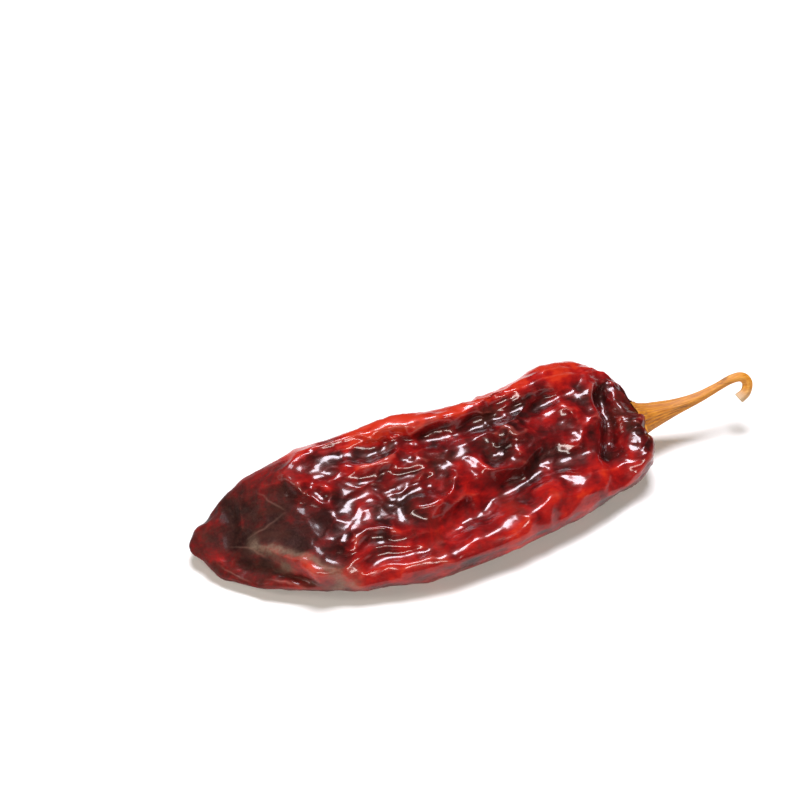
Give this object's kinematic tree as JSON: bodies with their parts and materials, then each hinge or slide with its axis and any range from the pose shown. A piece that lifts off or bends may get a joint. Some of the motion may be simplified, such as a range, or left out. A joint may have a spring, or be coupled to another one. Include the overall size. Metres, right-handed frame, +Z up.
{
  "type": "dried chilli",
  "caption": "Large dried chilli lying on its side: a flattened, crinkled dark red pod with a thin hooked stalk, for spice displays and kitchens.",
  "frame": {"origin": "under the middle of the whole chilli, on the surface that it lies on", "axes": "+X along the pod from its tip to its stalk, +Y across the pod to its high rim, +Z up"},
  "size_m": [0.1722, 0.0555, 0.0264],
  "materials": {
    "pod_skin": "glossy crinkled dried skin",
    "stalk": "dull fibrous dried stalk"
  },
  "bodies": {
    "root": {"pod": "pod_skin", "stalk": "stalk"}
  },
  "joints": []
}
